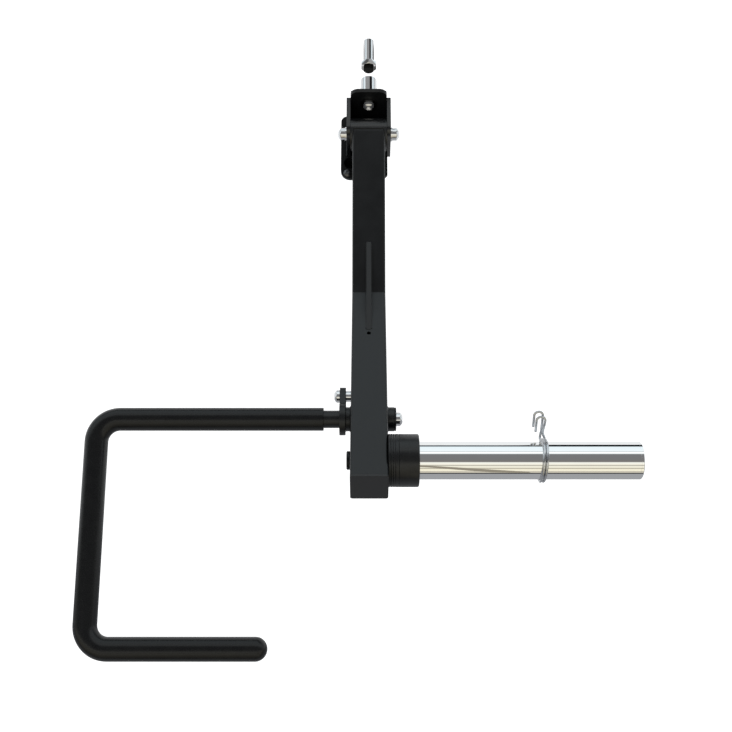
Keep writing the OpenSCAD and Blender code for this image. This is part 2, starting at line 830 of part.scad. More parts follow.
module handle_grip() {
  free_x = free_len - leg_x - grip_d / 2;
  color(rubber_black) at_handle() difference() {
    union() {
      handle_path(-grip_start, grip_d / 2, free_x);
      translate([free_x, -leg_len, 0]) sphere(grip_d / 2);
    }
    handle_path(0, bar_d / 2 + seat_gap, free_x - bar_end_inset + seat_gap);
  }
}

// Slice of a round plate about the origin, between two angles
module slice(low, high, r) {
  reach = 2 * r;
  middle = (low + high) / 2;
  intersection() {
    circle(r);
    polygon([
      [0, 0], reach * [cos(high), sin(high)], reach * [cos(middle), sin(middle)], reach * [cos(low), sin(low)]
    ]);
  }
}

// Side view of the index plate: hub, fan and the curved slot that the lock bolt runs in
module index_outline() {
  low = -lower_rise - swivel_down;
  high = -lower_rise + swivel_up;
  flank = lobe_r - lobe_inset;
  difference() {
    union() {
      circle(hub_r);
      slice(low, high, lock_r + flank);
      for (a = [low, high]) {
        translate(lock_r * [cos(a), sin(a)]) circle(lobe_r);
        rotate(a) translate([0, -flank]) square([lock_r, 2 * flank]);
      }
    }
    circle(bar_d / 2 + seat_gap);
    for (a = [low, high]) translate(lock_r * [cos(a), sin(a)]) circle(slot_half);
    difference() {
      slice(low, high, lock_r + slot_half - seat_gap);
      circle(lock_r - slot_half + seat_gap);
    }
  }
}

module index_plate() {
  color(powder_black) at_boss() rotate([lower_rise, 0, 0]) plate_x(index_x0, index_x1) index_outline();
}

module handle_end_washer() {
  color(powder_black) at_boss() translate([bar_x1, 0, 0]) rotate([0, 90, 0])
    ring(boss_d - 2 * end_washer_inset, end_bolt_d + 2 * bolt_clear, end_washer_t);
}

module handle_end_bolt() {
  head_x = bar_x1 + end_washer_t;
  color(chrome_grey) at_boss() {
    translate([head_x, 0, 0]) rotate([0, 90, 0]) dome_head(end_head_d, end_head_h, wide_socket_flats);
    bar_x(bar_x1 - end_thread_depth + thread_end_gap, head_x, end_bolt_d / 2);
  }
}

// Smooth step from 0 to 1
function ease(t) = let (u = max(0, min(1, t))) u * u * (3 - 2 * u);

// Point of the side view at an angle and a radius, measured from the sleeve's axis
function polar(angle, r) = [0, r * cos(angle), r * sin(angle)];

// Direction of both handles, and of the sleeve
leg_dir = polar(collar_lift, 1);
along_x = [1, 0, 0];

// The coil's turns lie side by side and lean towards the bumper below the sleeve
function coil_x(a) = collar_x + coil_pitch * (a - lower_leave) / 360
  - coil_lean * (1 - cos(a - lean_top)) / 2;

function coil_point(a) = polar(a, coil_r) + coil_x(a) * along_x;

// Sideways place of the lower handle at a distance along the wire from the coil
function lower_x(d) = coil_x(lower_leave) + lower_shift * ease((d - lower_shift_start) / lower_shift_len);

// Foot of the lower handle: the wire turns away from the coil until it runs beside the upper handle
function foot_side(t) = polar(lower_leave, coil_r + foot_r)
  + polar(lower_leave + 180 + foot_turn * t, foot_r);
function foot_point(t) = foot_side(t) + lower_x(foot_len * t) * along_x;

// Points of the two handles at a distance along them
function upper_x(s) = coil_x(upper_leave + atan(s / coil_r))
  - upper_shift * ease((s - upper_shift_start) / upper_shift_len)
  + upper_return * ease((s - upper_shift_start) / upper_shift_len - 1);
function upper_point(s) = polar(upper_leave, coil_r) + s * leg_dir + upper_x(s) * along_x;
function lower_point(s) = foot_side(1) + s * leg_dir + lower_x(foot_len + s) * along_x;

// Hook at the end of a leg: up the leg's end, over towards -X and back down
function hook(base) = [
  for (a = [0 : 22.5 : 180]) base + hook_r * sin(a) * leg_dir - hook_r * (1 - cos(a)) * along_x,
  base - 2 * hook_r * along_x - hook_back * leg_dir
];

function reversed(list) = [for (i = [len(list) - 1 : -1 : 0]) list[i]];

coil_steps = ceil((upper_leave - lower_leave) / 360 * rings_per_loop);
coil = [for (i = [0 : coil_steps]) coil_point(lower_leave + (upper_leave - lower_leave) * i / coil_steps)];
foot = [for (i = [1 : foot_steps]) foot_point(i / foot_steps)];
lower_leg = [for (s = [leg_step : leg_step : lower_leg_len - 1]) lower_point(s)];
upper_leg = [for (s = [leg_step : leg_step : upper_leg_len - 1]) upper_point(s)];
lower_hook = hook(lower_point(lower_leg_len));
upper_hook = hook(upper_point(upper_leg_len));
lower_handle = concat(foot, lower_leg, lower_hook);
collar_route = concat(reversed(lower_handle), coil, upper_leg, upper_hook);

function unit(v) = v / norm(v);

function tangent(route, i) = unit(route[min(i + 1, len(route) - 1)] - route[max(i - 1, 0)]);

// Normals carried along the route with no twist
function carried(route, first) = [
  for (i = 0, n = first; i < len(route); i = i + 1,
    n = i < len(route) ? unit(n - (n * tangent(route, i)) * tangent(route, i)) : n) n
];

// Tube swept along a route's points
module swept(route, r, sides) {
  t0 = tangent(route, 0);
  first = unit(cross(t0, off_route));
  normals = carried(route, first);
  count = len(route);
  points = [
    for (i = [0 : count - 1], k = [0 : sides - 1])
      let (n = normals[i], b = cross(tangent(route, i), n), a = 360 * k / sides)
      route[i] + r * cos(a) * n + r * sin(a) * b
  ];
  quads = [
    for (i = [0 : count - 2], k = [0 : sides - 1])
      let (j = (k + 1) % sides)
      each [[i * sides + k, i * sides + j, (i + 1) * sides + j],
        [i * sides + k, (i + 1) * sides + j, (i + 1) * sides + k]]
  ];
  start = [for (k = [1 : sides - 2]) [0, k + 1, k]];
  last = (count - 1) * sides;
  end = [for (k = [1 : sides - 2]) [last, last + k, last + k + 1]];
  faces = [for (f = concat(quads, start, end)) [f[0], f[2], f[1]]];
  polyhedron(points = points, faces = faces, convexity = 6);
}

// Least gap of the wire to itself, measured on a finer set of points that leaves out near neighbours
fine_turn = 3;
fine_step = 1.5;
neighbours = 14;
fine_coil = [for (a = [lower_leave : fine_turn : upper_leave]) coil_point(a)];
fine_foot = [for (t = [0.1 : 0.1 : 1]) foot_point(t)];
fine_lower = [for (s = [fine_step : fine_step : lower_leg_len]) lower_point(s)];
fine_upper = [for (s = [fine_step : fine_step : upper_leg_len]) upper_point(s)];
fine_handle = concat(fine_foot, fine_lower, lower_hook);
fine_route = concat(reversed(fine_handle), fine_coil, fine_upper, upper_hook);
collar_self_gap = min([
  for (i = [0 : len(fine_route) - 1], j = [i + neighbours : 1 : len(fine_route) - 1])
    norm(fine_route[i] - fine_route[j])
]) - wire_d;

module spring_collar() {
  echo(collar_self_gap = collar_self_gap);
  color(chrome_grey) at_sleeve() rotate([lower_rise, 0, 0]) swept(collar_route, wire_d / 2, wire_sides);
}

back_plate();
left_ear();
right_ear();
rest_shelf();
pin_holder();
shelf_screw();
rest_pad();
upright_liner();
rack_pin();
rack_pin_bolt();
rack_pin_washer();
pivot_axle();
pivot_bolts();
pivot_washers();
spare_pin_rod();
spare_pin_hex();
spare_pin_thread();
pivot_tube();
pivot_bushes();
upper_tube();
lower_tube();
gusset_plate();
arm_end_cap();
handle_tube();
handle_bushes();
lock_bolt();
lock_spacer();
lock_nut();
sleeve();
sleeve_core();
sleeve_bolt();
sleeve_bolt_spacer();
sleeve_end_cap();
stop_flange();
stop_rings();
stop_bumper();
handle_bar();
handle_end_plug();
handle_grip();
index_plate();
handle_end_washer();
handle_end_bolt();
spring_collar();
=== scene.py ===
"""Looks of a rack-mounted jammer arm.

The bracket and the arm are powder-coated, the handle has a rubber grip and the weight sleeve is chromed. Lengths
are in metres unless a comment says mm, in the row frame: +X towards the weight sleeve, +Y into the rack, +Z up.
"""

import math
import random

import bmesh
import bpy
from mathutils import Matrix, Vector


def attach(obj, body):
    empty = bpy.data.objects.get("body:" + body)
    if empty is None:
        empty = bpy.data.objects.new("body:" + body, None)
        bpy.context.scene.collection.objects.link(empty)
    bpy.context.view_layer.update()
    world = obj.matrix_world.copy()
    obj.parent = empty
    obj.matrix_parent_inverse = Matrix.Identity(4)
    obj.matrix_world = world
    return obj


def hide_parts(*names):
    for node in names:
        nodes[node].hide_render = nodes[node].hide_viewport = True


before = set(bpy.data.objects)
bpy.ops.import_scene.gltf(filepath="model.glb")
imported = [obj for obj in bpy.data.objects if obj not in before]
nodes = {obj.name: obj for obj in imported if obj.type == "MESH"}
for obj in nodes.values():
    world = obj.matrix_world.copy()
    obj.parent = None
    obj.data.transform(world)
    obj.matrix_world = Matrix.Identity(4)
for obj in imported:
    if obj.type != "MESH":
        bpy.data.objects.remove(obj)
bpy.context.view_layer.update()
scene = bpy.context.scene
MM = 0.001

# Places on the object, as the construction has them
PIVOT = Vector((0, -61.0, -9.2)) * MM
UPPER_DROP = math.radians(9.66)
LOWER_RISE = math.radians(22.3)
UPPER_LEN = 268.6 * MM
LOWER_LEN = 342.9 * MM
ARM_W = 50 * MM
HANDLE_FROM_END = 110.7 * MM
SLEEVE_FROM_END = 40.5 * MM
UPPER = Matrix.Translation(PIVOT) @ Matrix.Rotation(UPPER_DROP, 4, "X")
BEND = UPPER @ Vector((0, -UPPER_LEN, 0))
LOWER = Matrix.Translation(BEND) @ Matrix.Rotation(-LOWER_RISE, 4, "X")
BOSS = LOWER @ Matrix.Translation((0, HANDLE_FROM_END - LOWER_LEN, 0))
SLEEVE_AT = LOWER @ Vector((0, SLEEVE_FROM_END - LOWER_LEN, 0))
SPARE_PIN_Z = 50.8 * MM

# Where the camera stands, and its lens in mm
CAMERA_AT = Vector((-4.2, -947.6, 1365.0)) * MM
CAMERA_TILT = math.radians(20)
LENS = 50
SENSOR = 36

FLOOR_Z = -0.55
FLOOR_HALF = 40


# Camera, first of all
def add_camera():
    data = bpy.data.cameras.new("camera")
    data.lens = LENS
    data.sensor_width = SENSOR
    data.clip_start = 0.05
    data.clip_end = 100
    camera = bpy.data.objects.new("camera", data)
    camera.location = CAMERA_AT
    camera.rotation_euler = (CAMERA_TILT, 0, 0)
    scene.collection.objects.link(camera)
    scene.camera = camera


add_camera()


def spread(start, end, count):
    """Numbers from start to end in that count of even steps, both ends included."""
    return [start + (end - start) * i / count for i in range(count + 1)]


# Node trees
class Tree:
    """Short calls for building a node tree."""

    def __init__(self, tree):
        self.tree = tree
        tree.nodes.clear()

    def add(self, kind, inputs=None, **settings):
        node = self.tree.nodes.new(kind)
        for key, value in settings.items():
            setattr(node, key, value)
        for key, value in (inputs or {}).items():
            self.put(node.inputs[key], value)
        return node

    def put(self, socket, value):
        if isinstance(value, bpy.types.NodeSocket):
            self.tree.links.new(value, socket)
        else:
            socket.default_value = value

    def noise(self, vector, scale, detail=2.0, roughness=0.5):
        inputs = {"Vector": vector, "Scale": scale, "Detail": detail, "Roughness": roughness}
        return self.add("ShaderNodeTexNoise", inputs).outputs["Fac"]

    def stretched(self, vector, scale):
        return self.add("ShaderNodeMapping", {"Vector": vector, "Scale": scale}).outputs["Vector"]

    def span(self, value, low, high, start=0.3, end=0.7):
        """value from start to end becomes low to high."""
        inputs = {"Value": value, "From Min": start, "From Max": end, "To Min": low, "To Max": high}
        return self.add("ShaderNodeMapRange", inputs).outputs["Result"]

    def between(self, value, rise, fall):
        """0, then 1 after the rise, then 0 again after the fall, each of them a (start, end)."""
        return self.math("MULTIPLY", self.span(value, 0, 1, *rise), self.span(value, 1, 0, *fall))

    def mix(self, fac, a, b):
        node = self.add("ShaderNodeMix", data_type="RGBA")
        for socket, value in zip((node.inputs[0], node.inputs[6], node.inputs[7]), (fac, a, b)):
            self.put(socket, value)
        return node.outputs[2]

    def math(self, operation, a, b=0.0):
        node = self.add("ShaderNodeMath", operation=operation)
        self.put(node.inputs[0], a)
        self.put(node.inputs[1], b)
        return node.outputs[0]

    def bump(self, height, distance, strength, normal):
        inputs = {"Height": height, "Distance": distance, "Strength": strength, "Normal": normal}
        return self.add("ShaderNodeBump", inputs).outputs["Normal"]

    def lit(self, kind, colour, strength=1.0):
        """An Emission or Background shader."""
        return self.add("ShaderNode" + kind, {"Color": colour, "Strength": strength}).outputs[0]

    def mix_shaders(self, fac, a, b):
        node = self.add("ShaderNodeMixShader", {"Fac": fac})
        self.put(node.inputs[1], a)
        self.put(node.inputs[2], b)
        return node.outputs[0]

    def output(self, kind, shader):
        self.add("ShaderNodeOutput" + kind, {"Surface": shader})


def grey(r, g=None, b=None):
    return (r, r if g is None else g, r if b is None else b, 1)


def new_material(name):
    made = bpy.data.materials.new(name)
    made.use_nodes = True
    return made, Tree(made.node_tree)


def principled(name, metallic=0.0, specular=0.5):
    """A new Principled material, as (material, tree, shader, object coordinates)."""
    made, tree = new_material(name)
    shader = tree.add("ShaderNodeBsdfPrincipled", {"Metallic": metallic, "Specular IOR Level": specular})
    tree.output("Material", shader.outputs["BSDF"])
    return made, tree, shader, tree.add("ShaderNodeTexCoord").outputs["Object"]


def wire_up(tree, shader, colour, roughness, normal):
    for socket, value in (("Base Color", colour), ("Roughness", roughness), ("Normal", normal)):
        tree.put(shader.inputs[socket], value)


def softened(tree, radius):
    """The normal, turned smoothly over edges within the radius."""
    return tree.add("ShaderNodeBevel", {"Radius": radius}, samples=6).outputs["Normal"]


def edge_share(tree, soft):
    """1 along the edges, where the softened normal leaves the real one, and 0 elsewhere."""
    dot = tree.add("ShaderNodeVectorMath", operation="DOT_PRODUCT")
    tree.put(dot.inputs[0], soft)
    tree.put(dot.inputs[1], tree.add("ShaderNodeNewGeometry").outputs["Normal"])
    return tree.span(dot.outputs["Value"], 1.0, 0.0, 0.75, 0.995)


def powder_coat(name, low, high, specular, rough):
    """Satin black powder coat: fine orange peel, slightly uneven gloss, thinner along the edges."""
    speck_grey = grey(0.022, 0.023, 0.025)
    edge_grey = grey(0.030, 0.031, 0.033)
    made, tree, shader, place = principled(name, specular=specular)
    soft = softened(tree, 0.7 * MM)
    cloud = tree.noise(place, scale=38, detail=3)
    speck = tree.noise(place, scale=2600, roughness=0.7)
    colour = tree.mix(tree.span(cloud, 0, 1), grey(*low), grey(*high))
    colour = tree.mix(tree.span(speck, 0, 0.25, 0.60, 0.78), colour, speck_grey)
    colour = tree.mix(tree.math("MULTIPLY", edge_share(tree, soft), 0.35), colour, edge_grey)
    satin = tree.math("ADD", tree.span(cloud, *rough), tree.span(speck, -0.02, 0.03))
    peel = tree.bump(tree.noise(place, scale=620, roughness=0.45), 0.03 * MM, 0.55, soft)
    wire_up(tree, shader, colour, satin, tree.bump(speck, 0.012 * MM, 0.5, peel))
    return made


def chrome(name, rough, lines, tint, dull=0.95):
    """Bright chrome with faint polishing lines round X and smudges, which are a little duller."""
    edge_grey = grey(0.93, 0.93, 0.94)
    made, tree, shader, place = principled(name, metallic=1.0)
    soft = softened(tree, 0.35 * MM)
    smudge = tree.noise(place, scale=46, detail=4, roughness=0.6)
    fine = tree.noise(tree.stretched(place, (5200, 90, 90)), scale=1.0, roughness=0.6)
    colour = tree.mix(tree.span(smudge, 0, 1), grey(*tint), grey(*[c * dull for c in tint]))
    colour = tree.mix(tree.math("MULTIPLY", edge_share(tree, soft), 0.4), colour, edge_grey)
    gloss = tree.span(smudge, *rough, 0.35, 0.75)
    wire_up(tree, shader, colour, gloss, tree.bump(fine, 0.004 * MM, lines, soft))
    return made


def steel(name, colour, rough, grain, depth, metallic=1.0):
    """Bare, plated or blackened metal with a machined grain."""
    shade = 0.72
    made, tree, shader, place = principled(name, metallic=metallic)
    cloud = tree.noise(place, scale=120, detail=4, roughness=0.6)
    lines = tree.noise(tree.stretched(place, grain), scale=1.0, detail=3, roughness=0.6)
    mottled = tree.mix(tree.span(cloud, 0, 1), grey(*colour), grey(*[c * shade for c in colour]))
    normal = tree.bump(lines, depth, 0.5, softened(tree, 0.4 * MM))
    wire_up(tree, shader, mottled, tree.span(cloud, *rough), normal)
    return made


def moulded(name, dark, light, rough, grain, depth, specular=0.5):
    """Rubber or plastic with a moulded grain."""
    made, tree, shader, place = principled(name, specular=specular)
    cloud = tree.noise(place, scale=55, detail=4, roughness=0.6)
    pores = tree.noise(place, scale=grain, detail=3, roughness=0.6)
    colour = tree.mix(tree.span(cloud, 0, 1), grey(*dark), grey(*light))
    gloss = tree.math("ADD", tree.span(cloud, *rough), tree.span(pores, -0.03, 0.03))
    wire_up(tree, shader, colour, gloss, tree.bump(pores, depth, 0.6, softened(tree, 0.5 * MM)))
    return made


PAINT = powder_coat(
    "satin_powder_coat", (0.0040, 0.0045, 0.0052), (0.0058, 0.0065, 0.0074), specular=0.43, rough=(0.30, 0.36),
)
BRACKET_PAINT = powder_coat(
    "bracket_powder_coat", (0.0050, 0.0054, 0.0060), (0.0072, 0.0078, 0.0085), specular=0.62, rough=(0.21, 0.27),
)
PLATE_PAINT = powder_coat(
    "plate_powder_coat", (0.0045, 0.0048, 0.0052), (0.0062, 0.0066, 0.0071), specular=0.34, rough=(0.42, 0.50),
)
SHELF_PAINT = powder_coat(
    "shelf_powder_coat", (0.0040, 0.0044, 0.0049), (0.0058, 0.0063, 0.0069), specular=0.16, rough=(0.46, 0.54),
)
SLEEVE_CHROME = chrome("sleeve_chrome", rough=(0.012, 0.03), lines=0.12, tint=(0.955, 0.955, 0.955), dull=0.98)
BOLT_CHROME = chrome("bolt_chrome", rough=(0.05, 0.10), lines=0.10, tint=(0.84, 0.84, 0.85))
WIRE_CHROME = chrome("wire_chrome", rough=(0.12, 0.22), lines=0.1, tint=(0.62, 0.63, 0.65))
ZINC = steel(
    "bright_zinc", (0.86, 0.86, 0.87), rough=(0.12, 0.22), grain=(300, 300, 300), depth=0.004 * MM, metallic=0.84,
)
BLACK_STEEL = steel(
    "black_oxide", (0.035, 0.036, 0.038), rough=(0.34, 0.46), grain=(400, 400, 400), depth=0.01 * MM,
)
# A black screw given a mid grey colour all over: a painted highlight that stands in for the glint on its head
PAINTED_HIGHLIGHT_SCREW = steel(
    "black_screw_painted_highlight", (0.16, 0.16, 0.165), rough=(0.36, 0.46), grain=(400, 400, 400), depth=0.01 * MM,
)
PLAIN_STEEL = steel(
    "machined_steel", (0.52, 0.52, 0.53), rough=(0.24, 0.36), grain=(2600, 60, 60), depth=0.01 * MM,
)
BRONZE = steel(
    "sintered_bronze", (0.55, 0.36, 0.16), rough=(0.36, 0.50), grain=(1500, 1500, 1500), depth=0.02 * MM,
)
THREAD_BLACK = moulded(
    "blackened_thread", (0.0030, 0.0030, 0.0031), (0.0042, 0.0042, 0.0043), rough=(0.40, 0.50), grain=900,
    depth=0.004 * MM, specular=0.10,
)
GRIP = moulded(
    "grip_rubber", (0.0040, 0.0043, 0.0047), (0.0058, 0.0061, 0.0065), rough=(0.24, 0.30), grain=1800,
    depth=0.012 * MM, specular=0.32,
)
RUBBER = moulded(
    "bumper_rubber", (0.0050, 0.0053, 0.0057), (0.0075, 0.0078, 0.0082), rough=(0.28, 0.34), grain=1300,
    depth=0.015 * MM, specular=0.42,
)
PLASTIC = moulded(
    "cap_plastic", (0.0095, 0.0098, 0.0105), (0.0125, 0.0128, 0.0135), rough=(0.38, 0.46), grain=1500,
    depth=0.02 * MM,
)

FINISH = {
    PAINT: """upper_tube lower_tube gusset_plate handle_tube stop_flange stop_rings handle_bar index_plate
        handle_end_washer""",
    BRACKET_PAINT: "left_ear right_ear pivot_tube",
    PLATE_PAINT: "back_plate",
    SHELF_PAINT: "rest_shelf pin_holder",
    SLEEVE_CHROME: "sleeve sleeve_end_cap",
    BOLT_CHROME: """rack_pin pivot_bolts pivot_washers spare_pin_rod spare_pin_hex lock_bolt lock_spacer
        handle_end_bolt""",
    ZINC: "rack_pin_bolt",
    WIRE_CHROME: "spring_collar",
    BLACK_STEEL: "rack_pin_washer sleeve_bolt",
    THREAD_BLACK: "spare_pin_thread",
    PLAIN_STEEL: "pivot_axle lock_nut sleeve_core sleeve_bolt_spacer handle_end_plug",
    BRONZE: "pivot_bushes handle_bushes",
    PAINTED_HIGHLIGHT_SCREW: "shelf_screw",
    GRIP: "handle_grip",
    RUBBER: "rest_pad stop_bumper",
    PLASTIC: "upright_liner arm_end_cap",
}
for finish, names in FINISH.items():
    for name in names.split():
        nodes[name].data.materials.clear()
        nodes[name].data.materials.append(finish)


# Meshes
def piece(name, bm, finish, body, stands_for=()):
    """A finished mesh that rides on a body."""
    bmesh.ops.recalc_face_normals(bm, faces=bm.faces)
    mesh = bpy.data.meshes.new(name)
    bm.to_mesh(mesh)
    bm.free()
    mesh.materials.append(finish)
    mesh.shade_smooth()
    obj = bpy.data.objects.new(name, mesh)
    scene.collection.objects.link(obj)
    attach(obj, body)
    if stands_for:
        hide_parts(*stands_for)
    return obj


def round_x(x, radius, angle):
    """The point at x and that radius, turned round the X axis from +Y towards +Z."""
    return Vector((x, radius * math.cos(angle), radius * math.sin(angle)))


def skin(bm, rings, closed=False):
    """Faces from each ring to the next, and from the last back to the first if closed."""
    pairs = list(zip(rings, rings[1:])) + ([(rings[-1], rings[0])] if closed else [])
    sides = len(rings[0])
    for one, two in pairs:
        for k in range(sides):
            bm.faces.new((one[k], one[(k + 1) % sides], two[(k + 1) % sides], two[k]))


def swept(points, radii, sides, closed=False):
    """A round tube through the points, with one radius for each, its ends closed."""
    bm = bmesh.new()
    count = len(points)

    def tangent(i):
        if closed:
            return (points[(i + 1) % count] - points[i - 1]).normalized()
        return (points[min(i + 1, count - 1)] - points[max(i - 1, 0)]).normalized()

    normal = tangent(0).orthogonal().normalized()
    rings = []
    for i, (point, radius) in enumerate(zip(points, radii)):
        along = tangent(i)
        normal = (normal - normal.dot(along) * along).normalized()
        across = along.cross(normal)
        ring = []
        for k in range(sides):
            a = math.tau * k / sides
            ring.append(bm.verts.new(point + radius * (math.cos(a) * normal + math.sin(a) * across)))
        rings.append(ring)
    skin(bm, rings, closed)
    if not closed:
        bm.faces.new(reversed(rings[0]))
        bm.faces.new(rings[-1])
    return bm


def spring_collar():
    """The collar's one wire: a hook, its leg, the foot, two turns round the sleeve, the other leg and its hook.

    The lengths in here are in mm, from the sleeve's axis.
    """
    wire_r = 1.7
    sleeve_r = 25
    sleeve_gap = 0.7
    # The solid's coil has 24 flats a turn, which is why it stands a little further out at their corners
    half_flat = math.radians(7.5)
    coil_r = (sleeve_r + sleeve_gap + wire_r) / math.cos(half_flat)
    coil_steps = 150
    first_x = 228.2
    pitch = 3.95
    lean = 2.5
    lean_turn = math.radians(20)
    # The legs rise side by side, and the foot bends one of them into the coil
    lift = math.radians(51)
    legs_gap = 0.8
    foot_r = 6.0
    lower_leg = 28.7
    upper_leg = 45
    side_step = 1.6
    crossing = 5.2
    lower_start, lower_run = 6, 14
    upper_start, upper_run = 11, 16
    hook_r = 5.7
    hook_tail = 18
    tip_round = 0.7

    leave = lift - math.pi / 2 + math.acos((coil_r + 2 * wire_r + legs_gap - foot_r) / (coil_r + foot_r))
    end = lift - math.pi / 2 + 4 * math.pi
    foot_turn = lift + math.pi / 2 - leave
    foot_len = foot_r * foot_turn
    leg_way = Vector((0, math.cos(lift), math.sin(lift)))
    along = Vector((1, 0, 0))

    def ease(t):
        u = max(0.0, min(1.0, t))
        return u * u * (3 - 2 * u)

    def coil_x(a):
        return first_x + pitch * (a - leave) / math.tau - lean * (1 - math.cos(a - lean_turn))

    def lower_x(d):
        return coil_x(leave) + side_step * ease((d - lower_start) / lower_run)

    def foot_side(t):
        return round_x(0, coil_r + foot_r, leave) + round_x(0, foot_r, leave + math.pi + foot_turn * t)

    def foot(t):
        return foot_side(t) + lower_x(foot_len * t) * along

    def lower(s):
        return foot_side(1) + s * leg_way + lower_x(foot_len + s) * along

    def upper(s):
        t = (s - upper_start) / upper_run
        x = coil_x(end + math.atan(s / coil_r)) - crossing * ease(t) + side_step * ease(t - 1)
        return round_x(0, coil_r, end) + s * leg_way + x * along

    def hook(base):
        arch = [
            base + hook_r * math.sin(a) * leg_way - hook_r * (1 - math.cos(a)) * along
            for a in spread(0, math.pi, 16)
        ]
        return arch + [base - 2 * hook_r * along - s * leg_way for s in spread(0, hook_tail, 4)[1:]]

    coil = [round_x(coil_x(a), coil_r, a) for a in spread(leave, end, coil_steps)]
    lower_handle = [foot(t) for t in spread(0, 1, 16)[1:]]
    lower_handle += [lower(s) for s in spread(0, lower_leg, 12)[1:-1]] + hook(lower(lower_leg))
    upper_handle = [upper(s) for s in spread(0, upper_leg, 20)[1:-1]] + hook(upper(upper_leg))
    route = lower_handle[::-1] + coil + upper_handle

    # Ends are rounded off as cut and tumbled wire is
    def tip(last, inside):
        back = (inside - last).normalized()
        rounding = [
            (last + back * tip_round * (1 - math.sin(b)), wire_r - tip_round * (1 - math.cos(b)))
            for b in (1.5, 1.1, 0.6, 0.0)
        ]
        return [place for place, _ in rounding], [size for _, size in rounding]

    first_places, first_sizes = tip(route[0], route[1])
    last_places, last_sizes = tip(route[-1], route[-2])
    radii = first_sizes + [wire_r] * (len(route) - 2) + last_sizes[::-1]
    route = first_places + route[1:-1] + last_places[::-1]
    bm = swept([SLEEVE_AT + p * MM for p in route], [r * MM for r in radii], 20)
    piece("collar_wire", bm, WIRE_CHROME, "collar", ["spring_collar"])


def welds():
    """Weld beads, each a low rippled ridge half sunk in its corner."""
    dice = random.Random(7)
    bead_step = 0.55 * MM
    ripple = 0.10
    unevenness = 0.03

    def bead(name, body, points, radius, closed=False):
        run = [points[0]]
        for a, b in zip(points, points[1:] + ([points[0]] if closed else [])):
            steps = max(1, round((b - a).length / bead_step))
            run += [a.lerp(b, i / steps) for i in range(1, steps + 1)]
        if closed:
            run.pop()
        radii = [
            radius * (1 + ripple * math.cos(math.tau * i / 4) + dice.uniform(-unevenness, unevenness))
            for i in range(len(run))
        ]
        piece(name, swept(run, radii, 12, closed), PAINT, body)

    top = ARM_W / 2
    inner = top * math.tan((UPPER_DROP + LOWER_RISE) / 2)
    gusset_reach = 83 * MM
    gusset_side = 3.7 * MM
    pivot_x = ARM_W / 2 + 0.2 * MM
    pivot_r = 25 * MM
    boss_r = 16.6 * MM
    # Of these corners the places are in mm
    ear_x, ear_y, ear_ends = 28.3, -11.2, (-49.5, 13.5)
    shelf_x, shelf_z, shelf_ends = -34.6, -50.1, (-10.0, -75.0)
    tube_y, tube_z, tube_ends = -0.2, 24.7, (-23, 23)
    for side, name in ((-1, "left"), (1, "right")):
        x = side * gusset_side
        foot = [
            UPPER @ Vector((x, -(UPPER_LEN - gusset_reach), top)),
            UPPER @ Vector((x, -(UPPER_LEN - inner), top)),
            LOWER @ Vector((x, -gusset_reach, top)),
        ]
        bead("weld_gusset_" + name, "arm", foot, 1.1 * MM)
        arc = [UPPER @ round_x(side * pivot_x, pivot_r, math.radians(a)) for a in spread(92, 268, 48)]
        bead("weld_pivot_" + name, "arm", arc, 1.4 * MM)
        ring = [BOSS @ round_x(side * ARM_W / 2, boss_r, a) for a in spread(0, math.tau, 48)[:-1]]
        bead("weld_boss_" + name, "arm", ring, 1.2 * MM, True)
        ear = [Vector((side * ear_x, ear_y, z)) * MM for z in ear_ends]
        bead("weld_ear_" + name, "mount_bracket", ear, 1.6 * MM)
    shelf = [Vector((shelf_x, y, shelf_z)) * MM for y in shelf_ends]
    bead("weld_shelf", "mount_bracket", shelf, 1.5 * MM)
    across = [UPPER @ (Vector((x, tube_y, tube_z)) * MM) for x in tube_ends]
    bead("weld_pivot_top", "arm", across, 1.1 * MM)


def spare_thread():
    """Threaded stub of the spare pin, M16 with a 2 mm pitch. The lengths in here are in mm."""
    sides, rows = 72, 50
    start, end = 14.5, 19.5
    pitch, crest, root = 2.0, 7.90, 6.95
    first_crest = crest - 0.35
    flank = 1.15
    bm = bmesh.new()
    rings = []
    for j, y in enumerate(spread(start, end, rows)):
        ring = []
        for k in range(sides):
            a = math.tau * k / sides
            tooth = abs(((y / pitch - k / sides) % 1.0) * 2 - 1)
            r = first_crest if j == 0 else root + (crest - root) * min(1.0, flank * tooth)
            ring.append(bm.verts.new((r * MM * math.cos(a), y * MM, SPARE_PIN_Z + r * MM * math.sin(a))))
        rings.append(ring)
    skin(bm, rings)
    bm.faces.new(rings[0])
    bm.faces.new(list(reversed(rings[-1])))
    obj = piece("spare_thread", bm, THREAD_BLACK, "mount_bracket", ["spare_pin_thread"])
    obj.data.set_sharp_from_angle(angle=math.radians(60))


def lathe(profile, centre, sides=128):
    """A closed ring turned round the X axis: profile is a loop of (x, radius) in mm."""
    bm = bmesh.new()
    rings = [
        [bm.verts.new(centre + round_x(x * MM, r * MM, a)) for a in spread(0, math.tau, sides)[:-1]]
        for x, r in profile
    ]
    skin(bm, rings, closed=True)
    return bm


